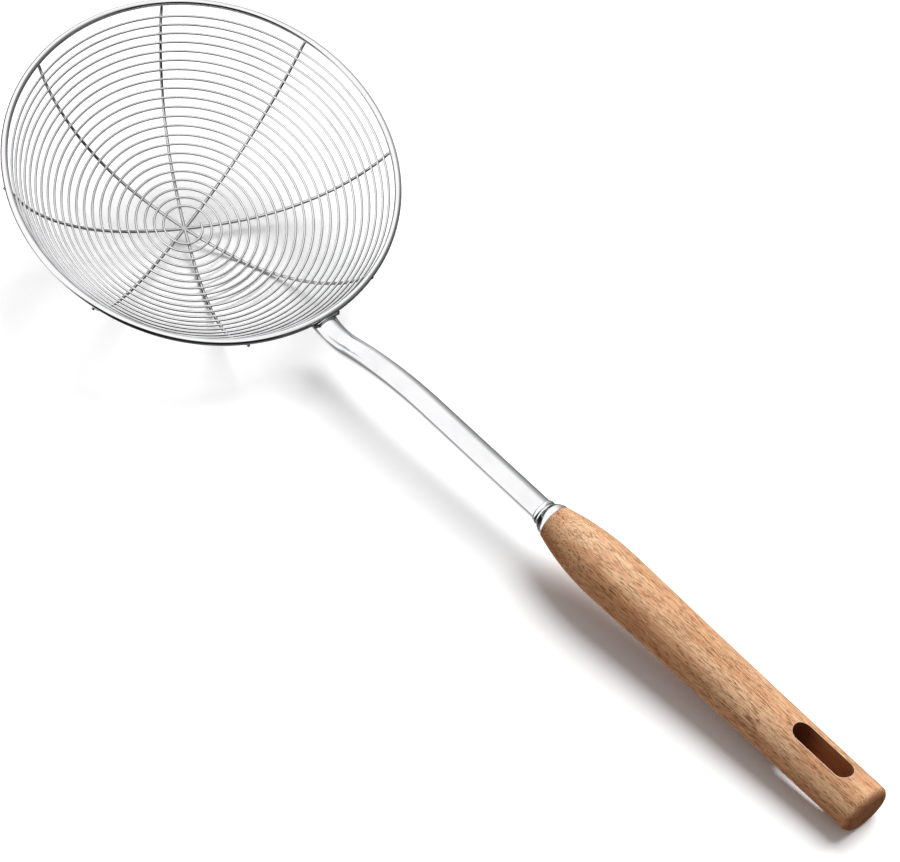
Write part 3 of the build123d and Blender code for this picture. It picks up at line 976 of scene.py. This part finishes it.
@dataclass
class Handle(Piece):
    """The tube, its weld seam and beads, the collar and the ferrule."""

    shape: HandleShape
    grip: GripShape = GripShape()
    steel: PolishedSteel = PolishedSteel()
    weld: PatchyMetal = WELD_METAL
    tube_end_round: float = 0.5
    bead_diameter: float = 3.2
    bead_drop: float = 2.4
    bead_place_share: float = 0.48
    left_bead_scale: float = 0.68
    right_bead_scale: float = 0.74
    bead_grid: tuple[int, int] = (20, 28)
    bead_run: float = 0.003
    lump_waves: Triple = (5.1, 6.3, 4.7)
    lump_phases: Triple = (2.0, 1.0, 0.0)
    lump_share: float = 0.06
    seam_reach: float = 4.4
    seam_out: float = 1.0
    seam_drop: float = 1.3
    seam_radius: float = 0.55
    seam_growth: float = 0.3
    seam_end_round: float = 0.6
    seam_steps: int = 41
    seam_sides: int = 24
    collar_length: float = 1.9
    collar_height: float = 0.5
    collar_gap: float = 0.6
    collar_steps: int = 17
    collar_bore_shares: Range = (0.67, 0.33)
    collar_bore_dip: float = 0.02
    ferrule_length: float = 4.6
    ferrule_lip: float = 0.9
    ferrule_wall: float = 0.7
    ferrule_corner: float = 0.12
    mouth_height: float = 0.5
    mouth_corner: float = 0.15
    bulge_share: float = 0.64
    flare_steps: int = 15
    nose_length: float = 1.4
    clearance: float = 0.04
    outline_run: float = 0.02
    sides: int = 64

    def build(self) -> None:
        """Makes the handle's metal objects."""
        steel, weld = self.steel.material(), self.weld.material()
        self.add(self.tube(), steel, Slot.POLISHED, "shaft_tube")
        self.add(self.seam(), steel, Slot.POLISHED)
        self.add(self.bead("weld_left", 1, self.left_bead_scale), weld, Slot.WELD, "rim_weld_left")
        self.add(self.bead("weld_right", -1, self.right_bead_scale), weld, Slot.WELD, "rim_weld_right")
        self.add(self.lathe("collar", self.collar_outline()), steel, Slot.POLISHED, "collar_ring")
        self.add(self.lathe("ferrule", self.ferrule_outline()), steel, Slot.POLISHED, "ferrule_cap")

    def tube(self) -> Object:
        """The tube, flattened at its front end over the flare's length."""
        shape = self.shape
        place, climb = shape.path()
        path = np.stack([place[:, 0], 0 * climb, place[:, 1]], axis=-1)
        share = np.clip(1 - along_line(path)[0] / shape.flare_length, 0.0, 1.0) ** 2
        normal = np.stack([-np.sin(climb), 0 * climb, np.cos(climb)], axis=-1)
        half_width = shape.diameter / 2 + share * (shape.end_width - shape.diameter) / 2
        half_height = shape.diameter / 2 - share * (shape.diameter - shape.end_height) / 2
        sizes = (half_height, half_width)
        return rod_surface("tube", self.place, path, normal, sizes, self.sides, self.tube_end_round)

    def seam(self) -> Object:
        """The weld seam in the corner between rim and tube, lower and thicker towards the tube's sides."""
        shape = self.shape
        across = np.linspace(-self.seam_reach, self.seam_reach, self.seam_steps)
        fall = shape.end_height / 2 * (1 - np.sqrt(1 - (2 * across / shape.end_width) ** 2))
        out = np.sqrt(shape.basket.rim_radius**2 - across**2) + self.seam_out
        path = np.stack([out, across, -self.seam_drop - fall / 2], axis=-1)
        radius = self.seam_radius + self.seam_growth * fall
        normal = np.broadcast_to(UP, path.shape)
        sides, end_round = self.seam_sides, self.seam_end_round
        return rod_surface("weld_seam", self.place, path, normal, radius, sides, end_round)

    def bead(self, name: str, side: int, scale: float) -> Object:
        """A lumpy weld bead in one corner between the rim and the tube.

        The ball's radius varies as a sum of three sines of its directions.

        Args:
            name: the piece's name.
            side: 1 for the bead at +Y, -1 for the other.
            scale: its size beside the CAD bead's.

        Returns:
            The object.
        """
        basket = self.shape.basket
        out = basket.rim_radius + basket.rod_radius / 2
        middle = [out, side * self.shape.end_width * self.bead_place_share, -self.bead_drop]
        ball = sphere_grid(*self.bead_grid)
        phases = np.multiply(self.lump_phases, [side, 1, 1])
        lump = np.sum(np.sin(ball * self.lump_waves + phases), axis=-1, keepdims=True)
        points = ball * (self.bead_diameter / 2 * scale * (1 + self.lump_share * lump)) + middle
        return grid_object(name, self.place.put(points)[None], np.linspace(0.0, self.bead_run, len(ball)))

    def lathe(self, name: str, outline: Array) -> Object:
        """Turns a closed outline of (along, radius) about the grip's axis."""
        angle = np.arange(self.sides) * math.tau / self.sides
        along, radius = outline[:, :1], outline[:, 1:]
        points = self.shape.on_grip(along, radius * np.cos(angle), radius * np.sin(angle))
        distance = np.linspace(0.0, self.outline_run, len(outline))
        return grid_object(name, self.place.put(points)[None], distance, closed_rows=True)

    def collar_outline(self) -> Array:
        """The collar's outline: its bore and a low arch over it."""
        inner = self.shape.diameter / 2 + self.clearance
        back = -self.ferrule_length - self.collar_gap
        angle = np.linspace(0.0, math.pi, self.collar_steps)
        along = back - self.collar_length / 2 * (1 - np.cos(angle))
        arch = np.stack([along, inner + self.collar_height * np.sin(angle)], axis=-1)
        dip = inner - self.collar_bore_dip
        bore = [[back - self.collar_length * share, dip] for share in self.collar_bore_shares]
        return np.concatenate([arch, bore])

    def ferrule_outline(self) -> Array:
        """The ferrule's outline: its mouth, the flare, the lip round the wood, and its bore.

        The flare is the parabola through its start, the bulge in its middle, and its end.
        """
        bore = self.shape.diameter / 2 + self.clearance
        mouth, outer = bore + self.mouth_height, self.grip.neck_diameter / 2
        start, end = np.array([-self.ferrule_length, mouth]), np.array([-self.ferrule_lip, outer])
        bulge = np.array([(start[0] + end[0]) / 2, mouth + (outer - mouth) * self.bulge_share])
        share = np.linspace(0.0, 1.0, self.flare_steps)[:, None]
        rest = 1 - share
        flare = start * rest * (rest - share) + bulge * 4 * share * rest + end * share * (share - rest)
        corner = self.ferrule_corner
        lip = [[-corner, outer], [0.0, outer - corner], [0.0, outer - self.ferrule_wall]]
        shoulder = -self.nose_length - self.clearance
        inside = [[shoulder, outer - self.ferrule_wall], [shoulder, bore], [start[0], bore]]
        return np.concatenate([[[start[0], mouth - self.mouth_corner]], flare, lip, inside])


@dataclass
class Grip(Piece):
    """The wooden grip with its hanging slot."""

    handle: HandleShape
    shape: GripShape = GripShape()
    half_columns: int = 48
    wall_rows: int = 14
    front_steps: int = 99
    rear_steps: int = 12
    butt_steps: int = 10
    slot_steps: int = 7
    slot_end_steps: int = 16
    lip_shares: tuple[float, ...] = (0.08, 0.2, 0.4, 0.65, 1.0, 1.6, 2.6)

    def build(self) -> None:
        """Makes the grip."""
        slope = self.place.tilt - self.handle.shaft_angle
        butt = self.place.put(self.handle.on_grip(self.shape.length, 0.0, 0.0))
        reach = float(butt @ [math.cos(slope), 0.0, -math.sin(slope)])
        middle = reach - (self.shape.length - self.shape.slot_centre) * MM
        slot = (middle - self.shape.slot_length / 2 * MM, middle)
        wood = BeechWood(axis_angle=slope, butt=reach, butt_round=self.shape.butt_round * MM, slot=slot)
        self.add(self.body(), wood.material(), Slot.WOOD, "wood_grip")

    def stations(self) -> Array:
        """Places along the grip, close together at the slot's ends and round the butt."""
        shape = self.shape
        angle = np.linspace(0.0, QUARTER, self.slot_end_steps)
        tip = shape.slot_straight + shape.slot_width / 2 * np.sin(angle)
        past = shape.slot_length / 2 + shape.lip_round * np.array(self.lip_shares)
        straight = np.linspace(0.0, shape.slot_straight, self.slot_steps, endpoint=False)
        half = np.concatenate([straight, tip, past])
        slot = np.concatenate([shape.slot_centre - half[::-1], shape.slot_centre + half[1:]])
        front = np.linspace(0.0, slot[0], self.front_steps, endpoint=False)
        rear = np.linspace(slot[-1], shape.length - shape.butt_round, self.rear_steps)[1:-1]
        angle = np.linspace(0.0, QUARTER, self.butt_steps)
        butt = shape.length - shape.butt_round * (1 - np.sin(angle))
        return np.concatenate([front, slot, rear, butt])

    def body(self) -> Object:
        """The grip: two mirrored shells that part at the slot, the slot's walls, and the two end faces.

        Seen along the grip, a shell runs from the slot's upper edge round one side to its lower edge: side is
        half width * cos(angle) and up is half height * sin(angle). Beyond the slot the shells meet at the top
        and the bottom. Near the slot both are lowered by a quarter round of the distance to its outline.
        """
        shape = self.shape
        along = self.stations()
        half_width, half_height = (size[:, None] for size in shape.half_sizes(along))
        gap = shape.slot_half_width(along)[:, None]
        first = np.arccos(np.clip(gap / half_width, 0.0, 1.0))
        angle = first * np.cos(np.linspace(0.0, math.pi, 2 * self.half_columns + 1))[None, :]
        side = np.maximum(half_width * np.cos(angle), 0.0)
        depth = np.clip(shape.slot_distance(along[:, None] + 0 * side, side), 0.0, shape.lip_round)
        lip = shape.lip_round - np.sqrt(np.maximum(shape.lip_round**2 - (shape.lip_round - depth) ** 2, 0.0))
        up = half_height * np.sin(angle) - np.sign(np.sin(angle)) * lip
        cut = np.clip(1 - depth / shape.lip_round, 0.0, 1.0)
        inside = np.abs(along - shape.slot_centre) < shape.slot_length / 2 + TINY
        share = np.linspace(0.0, 1.0, self.wall_rows)[None, :]
        wall_up = up[inside, :1] * (1 - share) + up[inside, -1:] * share
        wall_along, wall_side = along[inside, None] + 0 * wall_up, gap[inside] + 0 * wall_up
        shell_along = along[:, None] + 0 * side
        return self.joined("grip", [
            Sheet(shell_along, side, up, cut),
            Sheet(shell_along, -side, up, cut, flipped=True),
            Sheet(wall_along, wall_side, wall_up, 1 + 0 * wall_up, flipped=True),
            Sheet(wall_along, -wall_side, wall_up, 1 + 0 * wall_up),
        ])

    def joined(self, name: str, sheets: list["Sheet"]) -> Object:
        """Joins sheets of points where they meet, and closes the shells' first and last rows with flat faces.

        Args:
            name: the piece's name.
            sheets: the sheets, of which the first two are the shells.

        Returns:
            The object, with the attribute "cut".
        """
        points = np.concatenate([sheet.points().reshape(-1, 3) for sheet in sheets])
        cut = np.concatenate([sheet.cut.reshape(-1) for sheet in sheets])
        first = np.cumsum([0] + [sheet.cut.size for sheet in sheets])
        quads = np.concatenate([sheet.quads() + start for sheet, start in zip(sheets, first)])
        row = np.arange(sheets[0].cut.shape[1])
        end = np.concatenate([row, first[1] + row[-2:0:-1]])
        caps = [end[::-1], end + first[1] - len(row)]
        cells = np.round(points / JOIN_DISTANCE).astype(np.int64)
        _, keep, merged = np.unique(cells, axis=0, return_index=True, return_inverse=True)
        loops = merged.reshape(-1)[np.concatenate([quads.reshape(-1), *caps])]
        totals = np.concatenate([np.full(len(quads), 4), [len(cap) for cap in caps]])
        smooth = np.arange(len(totals)) < len(quads)
        side, up = self.shape.turned(points[keep, 1], points[keep, 2])
        placed = self.handle.on_grip(points[keep, 0], side, up)
        made = mesh_object(name, self.place.put(placed), loops, totals, smooth)
        values = made.data.attributes.new("cut", "FLOAT", "POINT").data
        values.foreach_set("value", cut[keep].astype(np.float32))
        return made


@dataclass
class Sheet:
    """A grid of points on the grip, with how much of each is the slot's cut surface."""

    along: Array
    side: Array
    up: Array
    cut: Array
    flipped: bool = False

    def points(self) -> Array:
        """The grid's points, rows by columns by 3."""
        return np.stack([self.along, self.side, self.up], axis=-1)

    def quads(self) -> Array:
        """The four corners of each face."""
        quads = grid_quads(*self.cut.shape, close_columns=False)
        return quads[:, [1, 2, 3, 0]] if self.flipped else quads[:, [0, 3, 2, 1]]


# The studio


@dataclass(frozen=True)
class Camera:
    """The camera, fitted to the rim, the ribs and the handle, in the drawing's millimetres.

    The rim's centre stands at aim_pixel in the picture, away from its middle.
    """

    focal_pixels: float = 2846.5
    azimuth: float = math.radians(-52.507)
    elevation: float = math.radians(56.572)
    roll: float = math.radians(17.807)
    distance: float = 1133.8
    aim_pixel: Range = (204.31, 166.99)
    sensor_width: float = 36.0
    reach: float = 20.0

    def build(self, place: Placement) -> None:
        """Makes the camera and sets it as the scene's."""
        outward = heading(self.azimuth, self.elevation)
        right = np.cross(-outward, UP)
        right /= np.linalg.norm(right)
        up = np.cross(right, -outward)
        c, s = math.cos(self.roll), math.sin(self.roll)
        level = Matrix([c * right + s * up, c * up - s * right, -outward])
        across = (self.aim_pixel[0] - IMAGE_WIDTH / 2) / self.focal_pixels
        down = (self.aim_pixel[1] - IMAGE_HEIGHT / 2) / self.focal_pixels
        aim = Vector((across, -down, 1.0)).normalized()
        turn = Vector(UP).rotation_difference(aim).to_matrix()
        rows = np.array(turn @ level) @ place.rotation.T
        position = place.put(outward * self.distance)
        data = bpy.data.cameras.new("camera")
        data.sensor_fit = "HORIZONTAL"
        data.sensor_width = self.sensor_width
        data.lens = self.focal_pixels / IMAGE_WIDTH * self.sensor_width
        data.clip_end = self.reach
        made = bpy.data.objects.new("camera", data)
        axes = Matrix(np.stack([rows[0], rows[1], -rows[2]], axis=-1).tolist())
        made.matrix_world = Matrix.Translation(Vector(position)) @ axes.to_4x4()
        bpy.context.scene.collection.objects.link(made)
        bpy.context.scene.camera = made
        LOG.info("camera at %s, lens %.2f mm", np.round(position, 4), data.lens)


@dataclass(frozen=True)
class Sun:
    """A lamp far away. Its azimuth, elevation and width are in degrees."""

    name: str
    azimuth: float
    elevation: float
    width: float
    strength: float

    def build(self) -> None:
        """Makes the lamp."""
        outward = Vector(heading(math.radians(self.azimuth), math.radians(self.elevation)))
        data = bpy.data.lights.new(self.name, "SUN")
        data.angle = math.radians(self.width)
        data.energy = self.strength
        made = bpy.data.objects.new(self.name, data)
        made.location = outward
        made.rotation_euler = outward.to_track_quat("Z", "Y").to_euler()
        made.visible_glossy = False
        bpy.context.scene.collection.objects.link(made)


@dataclass(frozen=True)
class Tent:
    """The surroundings that polished metal shows, made for the photo's angle.

    The cloth is white above and in front and ends low over a dark gap, with a dim strip of light in it.
    Towards the back it fades to grey. The table shows from below, bright on the basket's side.
    """

    cloth: float = 1.42
    cloth_edge: Range = (-0.1, 0.1)
    slopes: Range = (1.2, -1.7)
    slope_drop: float = 0.6
    highest_edge: float = 0.62
    middle: float = -0.45
    strip_width: Range = (0.1, 0.45)
    strip_light: Range = (0.35, 0.02)
    rear_growth: float = 0.62
    rear_light: float = 0.4
    rear_width: Range = (-0.1, 0.3)
    rear_shares: Range = (1.0, 0.4)
    rear_lean: float = 0.3
    rear_edge: Range = (0.3, 0.75)
    table_height: Range = (-0.72, -0.84)
    table_width: Range = (-0.12, -0.4)
    table_light: Range = (0.0, 0.8)
    table_back: Range = (0.35, 0.15)
    glow_height: Range = (-0.5, -0.75)
    glow_width: Range = (0.2, 0.5)
    glow_light: Range = (0.0, 0.2)

    def brightness(self, right: Shade, back: Shade, height: Shade) -> Shade:
        """How bright the tent is by the X, Y and Z parts of the direction."""
        aside = right - self.middle
        strip = aside.math("ABSOLUTE").step(*self.strip_width, *self.strip_light)
        edge = (aside * self.slopes[0]).math("MAXIMUM", aside * self.slopes[1]) - self.slope_drop
        cloth = (height - edge.math("MINIMUM", self.highest_edge)).step(*self.cloth_edge)
        front = cloth * (self.cloth - strip) + strip
        rear = (height * self.rear_growth + self.rear_light) * right.step(*self.rear_width, *self.rear_shares)
        share = (back + right * self.rear_lean).step(*self.rear_edge)
        table = height.step(*self.table_height) * right.step(*self.table_width, *self.table_light)
        glow = height.step(*self.glow_height) * right.step(*self.glow_width, *self.glow_light)
        below = table * back.step(*self.table_back) + glow
        return front * (1.0 - share) + rear.math("MAXIMUM", 0.0) * share + below


@dataclass(frozen=True)
class Studio:
    """White paper with a wide soft key light from behind and soft light all round."""

    floor_half_size: float = 4.0
    floor_seen: Colour = (1.15, 1.15, 1.15)
    floor_bounce: Colour = (0.47, 0.31, 0.19)
    sky: float = 0.28
    white: Colour = (1.0, 1.0, 1.0)
    tent_colour: Colour = (0.8, 0.8, 0.8)
    tent: Tent = Tent()
    key: Sun = Sun("key", 97.0, 56.0, 50.0, 3.4)

    def build(self) -> None:
        """Makes the floor, the world and the lamp."""
        self.floor()
        self.world()
        self.key.build()
        bpy.context.scene.view_settings.view_transform = "Standard"

    def floor(self) -> None:
        """The white paper. It throws back less light than it shows, and warm, as it lies round bare wood."""
        half = self.floor_half_size
        corners = [(-half, -half, 0.0), (half, -half, 0.0), (half, half, 0.0), (-half, half, 0.0)]
        mesh = bpy.data.meshes.new("floor")
        mesh.from_pydata(corners, [], [(0, 1, 2, 3)])
        made = bpy.data.objects.new("floor", mesh)
        bpy.context.scene.collection.objects.link(made)
        material = bpy.data.materials.new("floor_paper")
        tree = Tree(material)
        seen = Shade(tree, tree.node("ShaderNodeLightPath").outputs["Is Camera Ray"])
        colour = tree.blend(seen, self.floor_bounce, self.floor_seen)
        shader = tree.node("ShaderNodeBsdfDiffuse", None, {"Color": colour})
        tree.node("ShaderNodeOutputMaterial", None, {"Surface": shader.outputs[0]})
        mesh.materials.append(material)
        made.visible_glossy = False

    def world(self) -> None:
        """White to the camera, plain soft light to matt surfaces, and the tent to polished ones."""
        world = bpy.data.worlds.new("studio")
        bpy.context.scene.world = world
        tree = Tree(world)
        rays = tree.node("ShaderNodeLightPath").outputs
        direction = tree.node("ShaderNodeTexCoord").outputs["Generated"]
        axes = tree.node("ShaderNodeSeparateXYZ", None, {0: direction}).outputs
        tent = self.tent.brightness(*(Shade(tree, axes[name]) for name in "XYZ"))
        lights = ((self.white, self.sky), (self.tent_colour, tent), (self.white, 1.0))
        surface, polished, seen = (
            tree.node("ShaderNodeBackground", None, {"Color": (*colour, 1.0), "Strength": value}).outputs[0]
            for colour, value in lights
        )
        for ray, light in (("Is Glossy Ray", polished), ("Is Camera Ray", seen)):
            surface = tree.node("ShaderNodeMixShader", None, {0: rays[ray], 1: surface, 2: light}).outputs[0]
        tree.node("ShaderNodeOutputWorld", None, {"Surface": surface})


def dress_node(name: str, material: Material) -> None:
    """Gives a CAD node that stays as it is a material in each of its slots."""
    for entry in bpy.data.objects[name].material_slots:
        entry.material = material
    LOG.info("%s: the CAD's own mesh", name)


def main() -> None:
    """Builds the skimmer and its studio."""
    logging.basicConfig(level=logging.INFO, format="%(name)s: %(message)s")
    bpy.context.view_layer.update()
    basket = BasketShape()
    handle = HandleShape(basket)
    place = Placement.from_frame(basket)
    Basket(place, basket).build()
    Handle(place, handle).build()
    Grip(place, handle).build()
    dress_node("grip_tang", replace(WELD_METAL, name="tang_steel").material())
    Camera().build(place)
    Studio().build()


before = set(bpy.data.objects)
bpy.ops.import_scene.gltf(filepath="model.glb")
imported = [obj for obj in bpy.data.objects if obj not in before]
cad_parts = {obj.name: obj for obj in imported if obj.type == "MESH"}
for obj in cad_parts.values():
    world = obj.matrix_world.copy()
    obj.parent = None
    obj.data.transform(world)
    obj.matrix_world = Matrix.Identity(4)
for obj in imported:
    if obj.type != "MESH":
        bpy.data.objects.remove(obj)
if __name__ == "__main__":
    main()
